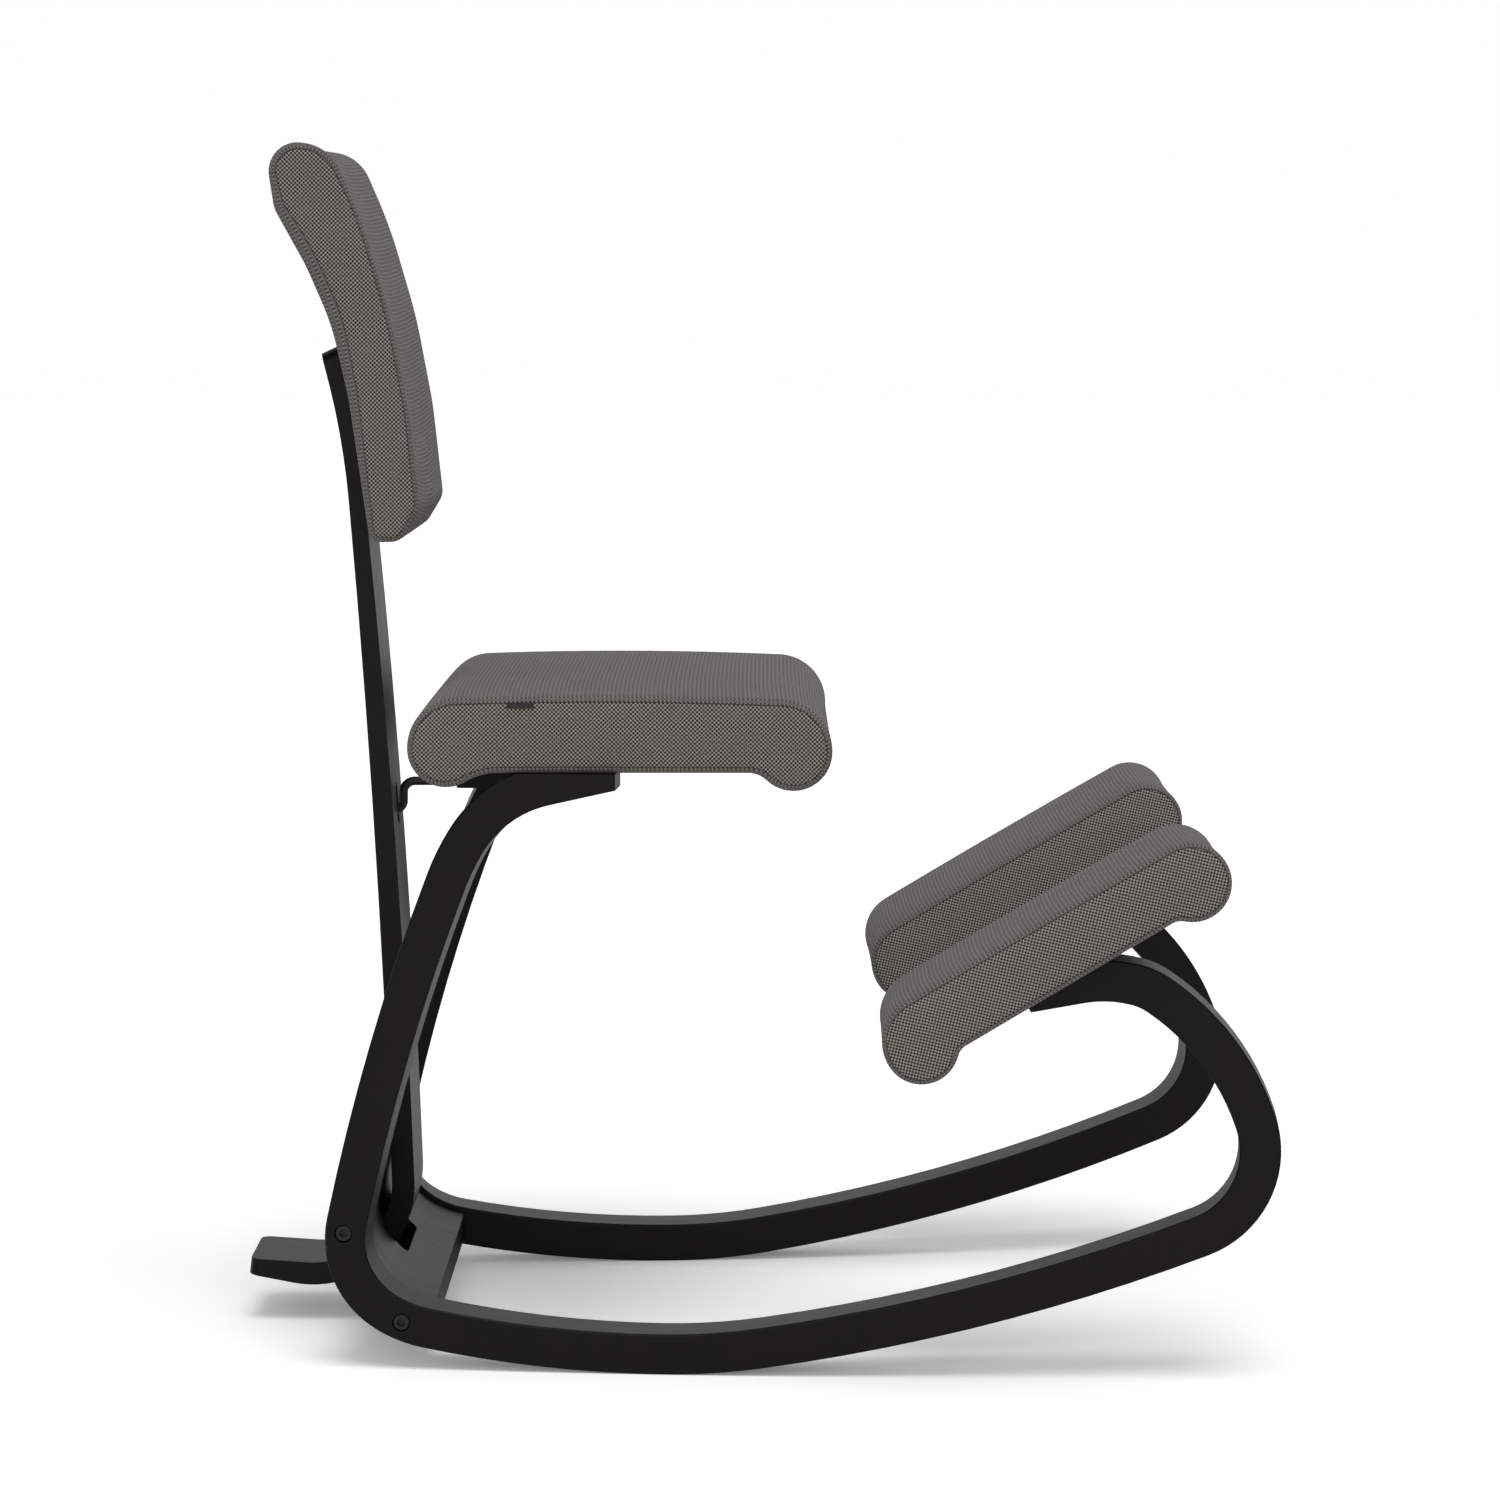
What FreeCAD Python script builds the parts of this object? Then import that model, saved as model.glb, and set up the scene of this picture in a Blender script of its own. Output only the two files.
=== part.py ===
import FreeCAD, Part
import math
import os

os.makedirs("parts", exist_ok=True)

V = FreeCAD.Vector

# overall layout, millimetres: X forward, Y to the left, Z up, floor at Z = 0
runner_length = 720.0
runner_front_half_width = 260.0
splay_deg = 4.23
runner_width = 41.0
runner_thick = 31.0
runner_edge_radius = 1.6

# outer line of a runner from the point that touches the floor: radius, turn in degrees
contact_u = 255.7
front_arcs = [(508.0, 9.0), (1540.0, 12.9), (85.0, 86.7), (202.0, 37.5), (67.5, 19.3), (112.0, 25.3)]
rear_arcs = [(946.0, 11.1), (105.7, 21.4), (79.7, 69.5), (1742.0, 9.1), (197.0, 10.84), (110.0, 45.16)]
seat_end_u = 223.0

# cross board between the runners
board_thick = 22.0
board_inset = 4.3
board_front_u = 78.5
board_upper_z = 150.0
board_bolt_points = [(14.6, 104.7), (58.4, 36.7)]
board_bolt_head_d = 12.5
board_bolt_head_h = 6.0
board_bolt_d = 8.0
board_bolt_len = 62.0
board_bolt_recess = 0.8
slot_half_len = 50.0
slot_run = 31.0
slot_point_x = 40.3
slot_corner_r = 7.0

# seat cushion
seat_over_runner = 45.0
seat_half_w = runner_front_half_width - seat_over_runner
seat_board_margin = 8.6
seat_board_side = 20.0
seat_under_z = 456.8
seat_rear_x = 65.7
seat_front_x = 385.7
seat_rear_lobe = (475.0, 29.0)
seat_front_lobe = (472.5, 29.3)
seat_rear_top_r = 38.0
seat_front_top_r = 39.5
seat_top_bulge = 2.4
seat_rear_hollow_r = 50.0
seat_front_hollow_r = 20.0
seat_crown = 4.5
seat_board_thick = 12.0

# knee cushions, straight ahead on the toed-out runners
knee_slope_deg = 31.0
knee_roll_deg = 1.6
knee_origin = (430.0, -291.0, 230.7)
knee_width = 152.0
knee_rear_s = 5.0
knee_front_s = 296.0
knee_rear_lobe = (16.1, 28.0)
knee_front_lobe = (18.2, 29.0)
knee_top_n = 51.0
knee_hollow_r = 12.0
knee_top_bulge = 0.8
knee_crown = 4.0
knee_board_thick = 11.0
knee_end_s = 114.4

# shared upholstery sizes
rim = 6.3
back_rim = 4.6
cover_thick = 1.5
side_draw = 1.5

# backrest
back_half_w = 132.0
back_crown = 1.2
back_wrap = 8.0
back_board_thick = 9.0
back_board_half_w = 112.0
stem_half_w = 46.0
tail_half_w = 44.5
bend_centre = (-24.8, 111.0)
bend_outer_r = 81.4
bend_inner_r = 63.5
stem_rear_r = 10018.0
stem_front_r = 8400.0
stem_top = (6.0, 776.5)
stem_top_turn = 11.1
tail_end_x = -74.5
hook_slot_half_w = 8.0
hook_slot_z = (393.8, 427.0)

# hook
hook_d = 7.0
hook_run_z = 428.3
hook_drop_x = 46.6
hook_tip_z = 401.5
hook_block = (90.0, 152.0, 22.0)

phi = math.radians(splay_deg)


def vec(p, y=0.0):
    return V(p[0], y, p[1])


def arc(a, m, b):
    return Part.Arc(a, m, b).toShape()


def walk(start, heading, arcs, left):
    """points and headings at the joints of tangent arcs; left turns when left is true"""
    out = [(start, heading, None)]
    p = start
    h = heading
    for r, turn in arcs:
        t = math.radians(turn)
        side = 1.0 if left else -1.0
        cx = p[0] - side * r * math.sin(h)
        cz = p[1] + side * r * math.cos(h)
        h2 = h + side * t
        p2 = (cx + side * r * math.sin(h2), cz - side * r * math.cos(h2))
        out.append((p2, h2, (cx, cz, r, h, h2, side)))
        p = p2
        h = h2
    return out


def lane(path, off):
    """edges of the path shifted by off towards the arc centres"""
    edges = []
    for p2, h2, c in path[1:]:
        cx, cz, r, ha, hb, side = c
        rr = r - off
        hm = 0.5 * (ha + hb)
        pts = []
        for h in (ha, hm, hb):
            pts.append(V(cx + side * rr * math.sin(h), 0, cz - side * rr * math.cos(h)))
        edges.append(arc(pts[0], pts[1], pts[2]))
    return edges


def strip(front, rear, off_a, off_b, tail):
    """closed wire between two lanes of the whole runner line, ends drawn on by a straight tail"""
    def ends(path, off):
        p, h, c = path[-1]
        side = c[5]
        q = V(p[0] - side * off * math.sin(h), 0, p[1] + side * off * math.cos(h))
        return q, q + V(tail * math.cos(h), 0, tail * math.sin(h))
    fa = lane(front, off_a)
    ra = lane(rear, off_a)
    fb = lane(front, off_b)
    rb = lane(rear, off_b)
    qa, ta = ends(front, off_a)
    qb, tb = ends(front, off_b)
    ua, va = ends(rear, off_a)
    ub, vb = ends(rear, off_b)
    edges = fa + [Part.makeLine(qa, ta), Part.makeLine(ta, tb), Part.makeLine(tb, qb)] + fb + rb
    edges = edges + [Part.makeLine(ub, vb), Part.makeLine(vb, va), Part.makeLine(va, ua)] + ra
    return Part.Wire(Part.__sortEdges__(edges))


def slab(wire, y0, y1):
    face = Part.Face(wire)
    face.translate(V(0, y0, 0))
    return face.extrude(V(0, y1 - y0, 0))


def cyl(r, h, base, axis):
    return Part.makeCylinder(r, h, base, axis)


def box(x0, x1, y0, y1, z0, z1):
    return Part.makeBox(x1 - x0, y1 - y0, z1 - z0, V(x0, y0, z0))


def rounded_box(x0, x1, y0, y1, z0, z1, r):
    b = box(x0, x1, y0, y1, z0, z1)
    up = [e for e in b.Edges if abs(e.Vertexes[0].Z - e.Vertexes[1].Z) > 0.5 * (z1 - z0)]
    return b.makeFillet(r, up)


def to_right(shape):
    """from the runner's own frame to its place on the right side"""
    s = shape.copy()
    s.rotate(V(0, 0, 0), V(0, 0, 1), -splay_deg)
    y0 = -(runner_front_half_width - runner_length * math.tan(phi))
    s.translate(V(0, y0, 0))
    return s


def mirror_y(shape):
    return shape.mirror(V(0, 0, 0), V(0, 1, 0))


def to_runner(shape):
    """from the right side back to the runner's own frame"""
    s = shape.copy()
    y0 = -(runner_front_half_width - runner_length * math.tan(phi))
    s.translate(V(0, -y0, 0))
    s.rotate(V(0, 0, 0), V(0, 0, 1), splay_deg)
    return s


def knee_place(shape):
    """from the knee cushion's own frame (s, width, n) to its place on the right side"""
    s = shape.copy()
    s.rotate(V(0, 0, 0), V(1, 0, 0), -knee_roll_deg)
    s.rotate(V(0, 0, 0), V(0, 1, 0), -knee_slope_deg)
    s.translate(V(knee_origin[0], knee_origin[1], knee_origin[2]))
    return s


def bean(y, under, rear_x, front_x, rear_lobe, front_lobe, tops, bulge, hollows, d, crown, draw):
    """bone shaped cushion outline at one width, drawn in by d on every side"""
    z1, r1 = rear_lobe
    z2, r2 = front_lobe
    xr = rear_x + draw
    xf = front_x - draw
    c1 = xr + r1
    c2 = xf - r2
    h1, h2 = hollows
    t1, t2 = tops
    f1 = c1 + math.sqrt((r1 + h1) ** 2 - (z1 - under + h1) ** 2)
    f2 = c2 - math.sqrt((r2 + h2) ** 2 - (z2 - under + h2) ** 2)
    zu = under + d
    # hollow arcs between the flat underside and each lobe
    a1 = math.atan2(z1 - (under - h1), c1 - f1)
    a2 = math.atan2(z2 - (under - h2), c2 - f2)
    e1 = h1 + d
    e2 = h2 + d
    p0 = V(f1, y, zu)
    p1 = V(f2, y, zu)
    m2 = 0.5 * (a2 + math.pi / 2)
    q2 = V(f2 + e2 * math.cos(a2), y, under - h2 + e2 * math.sin(a2))
    w2 = V(f2 + e2 * math.cos(m2), y, under - h2 + e2 * math.sin(m2))
    m1 = 0.5 * (a1 + math.pi / 2)
    q1 = V(f1 + e1 * math.cos(a1), y, under - h1 + e1 * math.sin(a1))
    w1 = V(f1 + e1 * math.cos(m1), y, under - h1 + e1 * math.sin(m1))
    # lobes below the widest point
    s2 = r2 - d
    b2 = a2 + math.pi
    if b2 > math.pi:
        b2 -= 2 * math.pi
    mid2 = 0.5 * b2
    x2 = V(xf - d, y, z2)
    v2 = V(c2 + s2 * math.cos(mid2), y, z2 + s2 * math.sin(mid2))
    s1 = r1 - d
    b1 = a1 + math.pi
    mid1 = 0.5 * (b1 + math.pi)
    x1 = V(xr + d, y, z1)
    v1 = V(c1 + s1 * math.cos(mid1), y, z1 + s1 * math.sin(mid1))
    # upper corners
    k2 = xf - t2
    k1 = xr + t1
    u2 = t2 - d
    u1 = t1 - d
    lift = crown
    top2 = V(k2, y, z2 + u2 + lift)
    top1 = V(k1, y, z1 + u1 + lift)
    c45 = math.sqrt(0.5)
    tm2 = V(k2 + u2 * c45, y, z2 + (u2 + lift) * c45)
    tm1 = V(k1 - u1 * c45, y, z1 + (u1 + lift) * c45)
    tmid = V(0.5 * (k1 + k2), y, 0.5 * (top1.z + top2.z) + bulge)
    return Part.Wire([
        Part.makeLine(p0, p1), arc(p1, w2, q2), arc(q2, v2, x2), arc(x2, tm2, top2),
        arc(top2, tmid, top1), arc(top1, tm1, x1), arc(x1, v1, q1), arc(q1, w1, p0)])


def cushion(maker, half, crown, d, edge=rim):
    """closed cushion through outlines at several widths, skin drawn in by d"""
    wires = []
    k = (half - d) / half
    plan = [(half, edge, 0.0), (half - 0.25 * edge, edge * 0.36, 0.0), (half - edge, 0.0, 0.2)]
    for part_way in (0.8, 0.6, 0.3):
        plan.append((half * part_way, 0.0, 1.0 - part_way ** 4))
    near = [(-y, inset, swell) for y, inset, swell in plan]
    middle = [(0.0, 0.0, 1.0)]
    for y, inset, swell in near + middle + plan[::-1]:
        wires.append(maker(y * k, inset + d, crown * swell, side_draw * swell))
    return Part.makeLoft(wires, True, True)


def seat_outline(y, d, crown, draw):
    return bean(y, seat_under_z, seat_rear_x, seat_front_x, seat_rear_lobe, seat_front_lobe,
                (seat_rear_top_r, seat_front_top_r), seat_top_bulge,
                (seat_rear_hollow_r, seat_front_hollow_r), d, crown, draw)


def knee_outline(y, d, crown, draw):
    t1 = knee_top_n - knee_rear_lobe[0]
    t2 = knee_top_n - knee_front_lobe[0]
    return bean(y + 0.5 * knee_width, 0.0, knee_rear_s, knee_front_s, knee_rear_lobe, knee_front_lobe,
                (t1, t2), knee_top_bulge, (knee_hollow_r, knee_hollow_r), d, crown, draw)


def rounded_loop(pts, y, d):
    """outline through corner points (x, z, radius), inside on the left, drawn in by d"""
    n = len(pts)
    lines = []
    for i in range(n):
        a = pts[i]
        b = pts[(i + 1) % n]
        dx = b[0] - a[0]
        dz = b[1] - a[1]
        ln = math.hypot(dx, dz)
        dx /= ln
        dz /= ln
        lines.append((a[0] - dz * d, a[1] + dx * d, dx, dz))
    corner = []
    for i in range(n):
        x1, z1, dx1, dz1 = lines[i - 1]
        x2, z2, dx2, dz2 = lines[i]
        det = dx1 * dz2 - dz1 * dx2
        t = ((x2 - x1) * dz2 - (z2 - z1) * dx2) / det
        corner.append((x1 + dx1 * t, z1 + dz1 * t))
    arcs = []
    for i in range(n):
        x1, z1, dx1, dz1 = lines[i - 1]
        x2, z2, dx2, dz2 = lines[i]
        turn = math.atan2(dx1 * dz2 - dz1 * dx2, dx1 * dx2 + dz1 * dz2)
        r = pts[i][2] - d if turn > 0 else pts[i][2] + d
        t = r * math.tan(abs(turn) / 2)
        cx, cz = corner[i]
        a = V(cx - dx1 * t, y, cz - dz1 * t)
        b = V(cx + dx2 * t, y, cz + dz2 * t)
        sg = 1.0 if turn > 0 else -1.0
        ox = a.x - dz1 * r * sg
        oz = a.z + dx1 * r * sg
        mx = 0.5 * (a.x + b.x) - ox
        mz = 0.5 * (a.z + b.z) - oz
        ml = math.hypot(mx, mz)
        arcs.append((a, V(ox + mx / ml * r, y, oz + mz / ml * r), b))
    edges = []
    for i in range(n):
        a, m, b = arcs[i]
        edges.append(arc(a, m, b))
        nxt = arcs[(i + 1) % n][0]
        edges.append(Part.makeLine(b, nxt))
    return Part.Wire(edges)


# corner points of the backrest cushion, seen from the right side, inside on the left
back_points = [
    (33.2, 625.6, 9.0), (52.8, 625.6, 12.0), (70.7, 650.7, 16.0), (63.2, 724.6, 300.0),
    (50.0, 796.0, 400.0), (29.0, 869.3, 400.0), (5.0, 925.8, 34.0), (-45.9, 933.2, 22.0),
    (-37.8, 879.3, 26.0), (-14.0, 836.1, 120.0), (5.1, 791.9, 200.0), (17.9, 734.6, 260.0)]


def wrap_at(y):
    """how far the backrest lies back at this width, so that its sides come forward"""
    return back_wrap * (1.0 - (y / back_half_w) ** 2)


def back_outline(y, d, crown, draw):
    pts = []
    for i, (x, z, r) in enumerate(back_points):
        grow = crown if i in (2, 3, 4, 5) else 0.0
        pts.append((x + grow - wrap_at(y), z, r))
    return rounded_loop(pts, y, d)


# runners
front_path = walk((contact_u, 0.0), 0.0, front_arcs, True)
rear_path = walk((contact_u, 0.0), math.pi, rear_arcs, False)
seat_cut_z = seat_under_z - 0.1
blank = slab(strip(front_path, rear_path, 0.0, runner_thick, 90.0), 0.0, runner_width)
blank = blank.cut(box(-50, 420, -10, 60, seat_cut_z, 700))
blank = blank.cut(box(seat_end_u, 420, -10, 60, 380, 700))
knee_cut = to_runner(knee_place(box(-60, 420, -60, 300, -0.1, 260)))
knee_cut = knee_cut.common(box(380, 760, -200, 300, 200, 600))
blank = blank.cut(knee_cut)
knee_tip_cut = to_runner(knee_place(box(-60, knee_end_s, -60, 300, -70, 260)))
knee_tip_cut = knee_tip_cut.common(box(380, 640, -200, 300, 225, 600))
blank = blank.cut(knee_tip_cut)
solids = sorted(blank.Solids, key=lambda s: -s.Volume)
blank = solids[0]


def soften(solid, r):
    """round the long edges on both faces of a runner"""
    picked = []
    for e in solid.Edges:
        ys = [v.Y for v in e.Vertexes]
        on_face = all(abs(y) < 1e-4 for y in ys) or all(abs(y - runner_width) < 1e-4 for y in ys)
        if not on_face or e.Length < 12:
            continue
        c = e.CenterOfMass
        if c.z > seat_cut_z - 1.0:
            continue
        picked.append(e)
    return picked


long_edges = soften(blank, runner_edge_radius)
shaped = None
for rr in (runner_edge_radius, 1.2, 0.8):
    if shaped is not None:
        break
    try:
        trial = blank.makeFillet(rr, long_edges)
        if trial.isValid() and trial.Volume > 0.9 * blank.Volume:
            shaped = trial
            print("runner edges rounded by", rr)
    except Exception as problem:
        print("runner edge rounding", rr, problem)
if shaped is None:
    shaped = blank
    print("runner edges left sharp")
runner_local = shaped

# bolts through the runners into the cross board
bolt_cuts = []
bolt_solids = []
nut_cuts = []
nut_solids = []
for u, z in board_bolt_points:
    head_from = board_bolt_recess
    bolt_cuts.append(cyl(board_bolt_head_d / 2 + 0.6, board_bolt_head_h + head_from, V(u, 0, z), V(0, 1, 0)))
    bolt_cuts.append(cyl(board_bolt_d / 2 + 0.4, 60, V(u, 0, z), V(0, 1, 0)))
    head = cyl(board_bolt_head_d / 2, board_bolt_head_h, V(u, head_from, z), V(0, 1, 0))
    rims = [e for e in head.Edges if abs(e.CenterOfMass.y - head_from) < 0.01 and len(e.Vertexes) == 1]
    head = head.makeFillet(0.8, rims)
    socket = []
    for k in range(7):
        a = math.radians(60 * k + 15)
        socket.append(V(u + 3.46 * math.cos(a), head_from - 0.1, z + 3.46 * math.sin(a)))
    hexa = Part.Face(Part.makePolygon(socket)).extrude(V(0, 3.6, 0))
    head = head.cut(hexa)
    shank = cyl(board_bolt_d / 2, board_bolt_len, V(u, head_from + board_bolt_head_h, z), V(0, 1, 0))
    bolt_solids.append(head.fuse(shank).removeSplitter())
    nut_y = head_from + board_bolt_head_h + board_bolt_len - 12.0
    nut_solids.append((u, z, nut_y))

for c in bolt_cuts:
    runner_local = runner_local.cut(c)

# cross board: strip between the runners following their line
board_off = runner_thick - board_inset
board_profile = strip(front_path, rear_path, board_off - board_thick, board_off, 90.0)
board_local = slab(board_profile, -400.0, 400.0)
board_local.translate(V(0, runner_width, 0))
face_x = runner_width * math.sin(phi)
board_world = slab(board_profile, -230.0, 230.0)
board_world.translate(V(face_x, 0, 0))
clip = box(-40, board_front_u + face_x, -260, 260, -5, board_upper_z)
board_world = board_world.common(clip)
board_world = sorted(board_world.Solids, key=lambda s: -s.Volume)[0]
inner_y = runner_front_half_width - runner_length * math.tan(phi) - runner_width / math.cos(phi)
tan_phi = math.tan(phi)
gap = 0.05
trap = Part.makePolygon([
    V(-60, inner_y - 60 * tan_phi - gap, -20), V(200, inner_y + 200 * tan_phi - gap, -20),
    V(200, -inner_y - 200 * tan_phi + gap, -20), V(-60, -inner_y + 60 * tan_phi + gap, -20),
    V(-60, inner_y - 60 * tan_phi - gap, -20)])
trap = Part.Face(trap).extrude(V(0, 0, 300))
board_world = board_world.common(trap)
print("board half width at x=85", inner_y + 85 * tan_phi)


def lane_point(path, off, target_x):
    """point and normal on a lane where it crosses a given x, on the rear bottom curve"""
    best = None
    for p2, h2, c in path[1:4]:
        cx, cz, r, ha, hb, side = c
        for k in range(401):
            h = ha + (hb - ha) * k / 400.0
            rr = r - off
            x = cx + side * rr * math.sin(h)
            z = cz - side * rr * math.cos(h)
            if z > 90:
                continue
            if best is None or abs(x - target_x) < best[0]:
                best = (abs(x - target_x), x, z, h)
    return best


slot_hit = lane_point(rear_path, board_off, slot_point_x - face_x)
slot_x = slot_hit[1] + face_x
slot_z = slot_hit[2]
slot_h = slot_hit[3]
tangent = V(math.cos(slot_h), 0, math.sin(slot_h))
print("slot centre", slot_x, slot_z, "heading", math.degrees(slot_h))
slot_tool = rounded_box(-slot_run / 2, slot_run / 2, -slot_half_len, slot_half_len, -60, 30, slot_corner_r)
slot_tilt = -math.degrees(math.atan2(-tangent.z, -tangent.x))
slot_tool.rotate(V(0, 0, 0), V(0, 1, 0), slot_tilt)
slot_tool.translate(V(slot_x, 0, slot_z))
board_world = board_world.cut(slot_tool)
tops = []
for e in board_world.Edges:
    b = e.BoundBox
    if b.YLength > 250 and abs(b.XMax - (board_front_u + face_x)) < 0.01 and b.XLength < 0.01:
        tops.append(e)
if tops:
    try:
        board_world = board_world.makeFillet(1.5, tops)
    except Exception as problem:
        print("board edge rounding", problem)

bolts_right = []
nuts_right = []
for s in bolt_solids:
    bolts_right.append(to_right(s))
for u, z, ny in nut_solids:
    centre = to_right(Part.Vertex(V(u, ny, z))).Point
    axis = V(0, 0, 1)
    nut = cyl(6.0, 15.0, V(centre.x, centre.y, centre.z - 7.5), axis)
    nuts_right.append((nut, centre))
nut_shapes = []
for s, centre in nuts_right:
    along = V(math.sin(phi), math.cos(phi), 0)
    bore = cyl(board_bolt_d / 2 + 0.05, 40, centre - along * 20, along)
    body = s.cut(bore)
    nut_shapes.append(body)
    hole = cyl(6.05, 15.1, V(centre.x, centre.y, centre.z - 7.55), V(0, 0, 1))
    board_world = board_world.cut(hole).cut(mirror_y(hole))
for u, z in board_bolt_points:
    drill = to_right(cyl(board_bolt_d / 2 + 0.1, 60, V(u, 20, z), V(0, 1, 0)))
    board_world = board_world.cut(drill).cut(mirror_y(drill))

# seat
seat_outer = cushion(seat_outline, seat_half_w, seat_crown, 0.0)
seat_inner = cushion(seat_outline, seat_half_w, seat_crown, cover_thick)
board_z0 = seat_under_z + cover_thick + 0.05
board_mid = seat_half_w - seat_board_side
board_wide = seat_half_w - seat_board_margin
seat_board = rounded_box(150, 318, -board_mid, board_mid, board_z0, board_z0 + seat_board_thick, 18.0)
seat_board = seat_board.fuse(rounded_box(99, 220, -60, 60, board_z0, board_z0 + seat_board_thick, 14.0))
seat_board = seat_board.fuse(rounded_box(128, 226, -board_wide, board_wide, board_z0, board_z0 + seat_board_thick, 12.0))
seat_board = seat_board.removeSplitter()

seat_screw_u = [165.0, 202.0]
seat_screw_in = 24.0
seat_seat_z = [444.5, 448.4]


def t_nut(x, y, z_top, thick):
    """flanged nut set in a board from above"""
    flange = cyl(9.5, 1.6, V(x, y, z_top), V(0, 0, 1))
    barrel = cyl(4.6, thick - 2.0, V(x, y, z_top - thick + 2.0), V(0, 0, 1))
    bore = cyl(3.05, thick + 4, V(x, y, z_top - thick - 1), V(0, 0, 1))
    return flange.fuse(barrel).cut(bore).removeSplitter()


def cap_screw(x, y, z_seat, length, head_r=5.0, head_h=5.5):
    """socket screw pointing up, its head below z_seat"""
    head = cyl(head_r, head_h, V(x, y, z_seat - head_h), V(0, 0, 1))
    ring = [V(x + 2.9 * math.cos(math.radians(60 * k)), y + 2.9 * math.sin(math.radians(60 * k)), z_seat - head_h - 0.1)
            for k in range(7)]
    hexa = Part.Face(Part.makePolygon(ring)).extrude(V(0, 0, 3.1))
    shank = cyl(3.0, length, V(x, y, z_seat), V(0, 0, 1))
    return head.cut(hexa).fuse(shank).removeSplitter()


seat_screws = []
seat_nuts = []
seat_holes = []
for u, zs in zip(seat_screw_u, seat_seat_z):
    p = to_right(Part.Vertex(V(u, seat_screw_in, 0))).Point
    top = board_z0 + seat_board_thick
    seat_screws.append(cap_screw(p.x, p.y, zs, top - zs + 1.0))
    seat_nuts.append(t_nut(p.x, p.y, top, seat_board_thick))
    seat_holes.append((p.x, p.y, zs))
    bore = cyl(3.3, 60, V(u, seat_screw_in, zs - 1), V(0, 0, 1))
    sink = cyl(6.2, 40, V(u, seat_screw_in, zs - 40), V(0, 0, 1))
    sink = sink.common(box(u - 20, u + 20, -5, 60, zs - 26, zs))
    runner_local = runner_local.cut(bore).cut(sink)

hook_x0, hook_x1, hook_hw = hook_block
hook_block_z0 = hook_run_z - hook_d / 2
block = rounded_box(hook_x0, hook_x1, -hook_hw, hook_hw, hook_block_z0, seat_under_z - 0.1, 5.0)
block_screw_pts = [(107.5, 13.5), (107.5, -13.5), (143.0, 13.5), (143.0, -13.5)]
hook_screws = []
for x, y in block_screw_pts:
    zs = hook_block_z0 + 8.0
    hook_screws.append(cap_screw(x, y, zs, seat_under_z + 11.0 - zs, 4.2, 4.0))
    block = block.cut(cyl(3.1, 60, V(x, y, zs - 1), V(0, 0, 1))).cut(cyl(4.6, 8.1, V(x, y, zs - 8.1), V(0, 0, 1)))

# rod: rises into the block, runs back, drops and turns into the slot of the stem
bend = 9.0


def tube_path(points, radii):
    """wire of straight runs joined by arcs, all at Y = 0"""
    edges = []
    last = points[0]
    for i in range(1, len(points) - 1):
        a, b, c = points[i - 1], points[i], points[i + 1]
        u1 = (a - b).normalize()
        u2 = (c - b).normalize()
        ang = math.acos(max(-1, min(1, u1.dot(u2))))
        r = radii[i - 1]
        t = r / math.tan(ang / 2)
        s = b + u1 * t
        e = b + u2 * t
        bis = (u1 + u2).normalize()
        centre = b + bis * (r / math.sin(ang / 2))
        mid = centre - bis * r
        edges.append(Part.makeLine(last, s))
        edges.append(arc(s, mid, e))
        last = e
    edges.append(Part.makeLine(last, points[-1]))
    return Part.Wire(edges)


rod_pts = [V(122, 0, hook_run_z + 15), V(122, 0, hook_run_z), V(hook_drop_x, 0, hook_run_z),
           V(hook_drop_x, 0, 408.5), V(27.6, 0, 396.8)]
rod_path = tube_path(rod_pts, [8.0, bend, 7.5])
rod_circle = Part.Wire([Part.Circle(rod_pts[0], V(0, 0, 1), hook_d / 2).toShape()])
block = block.cut(cushion(seat_outline, seat_half_w, seat_crown, -0.15))
block = sorted(block.Solids, key=lambda s: -s.Volume)[0]
rod = rod_path.makePipeShell([rod_circle], True, False)
if rod.ShapeType != "Solid":
    rod = Part.Solid(rod)
gr = hook_d / 2 + 0.06
groove_wire = Part.Wire([
    Part.makeLine(V(hook_x0 - 1, -gr, hook_block_z0 - 1), V(hook_x0 - 1, -gr, hook_run_z)),
    Part.Arc(V(hook_x0 - 1, -gr, hook_run_z), V(hook_x0 - 1, 0, hook_run_z + gr),
             V(hook_x0 - 1, gr, hook_run_z)).toShape(),
    Part.makeLine(V(hook_x0 - 1, gr, hook_run_z), V(hook_x0 - 1, gr, hook_block_z0 - 1)),
    Part.makeLine(V(hook_x0 - 1, gr, hook_block_z0 - 1), V(hook_x0 - 1, -gr, hook_block_z0 - 1))])
block = block.cut(Part.Face(groove_wire).extrude(V(112 - hook_x0 + 2, 0, 0)))
block = block.cut(box(112, 126, -3.8, 3.8, hook_block_z0 - 1, hook_run_z + 16))

# seam tab on the seat
tab_y = -seat_half_w
tab = box(141.2, 161.7, tab_y - 1.3, tab_y + 3.0, 506.0, 509.6)

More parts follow.
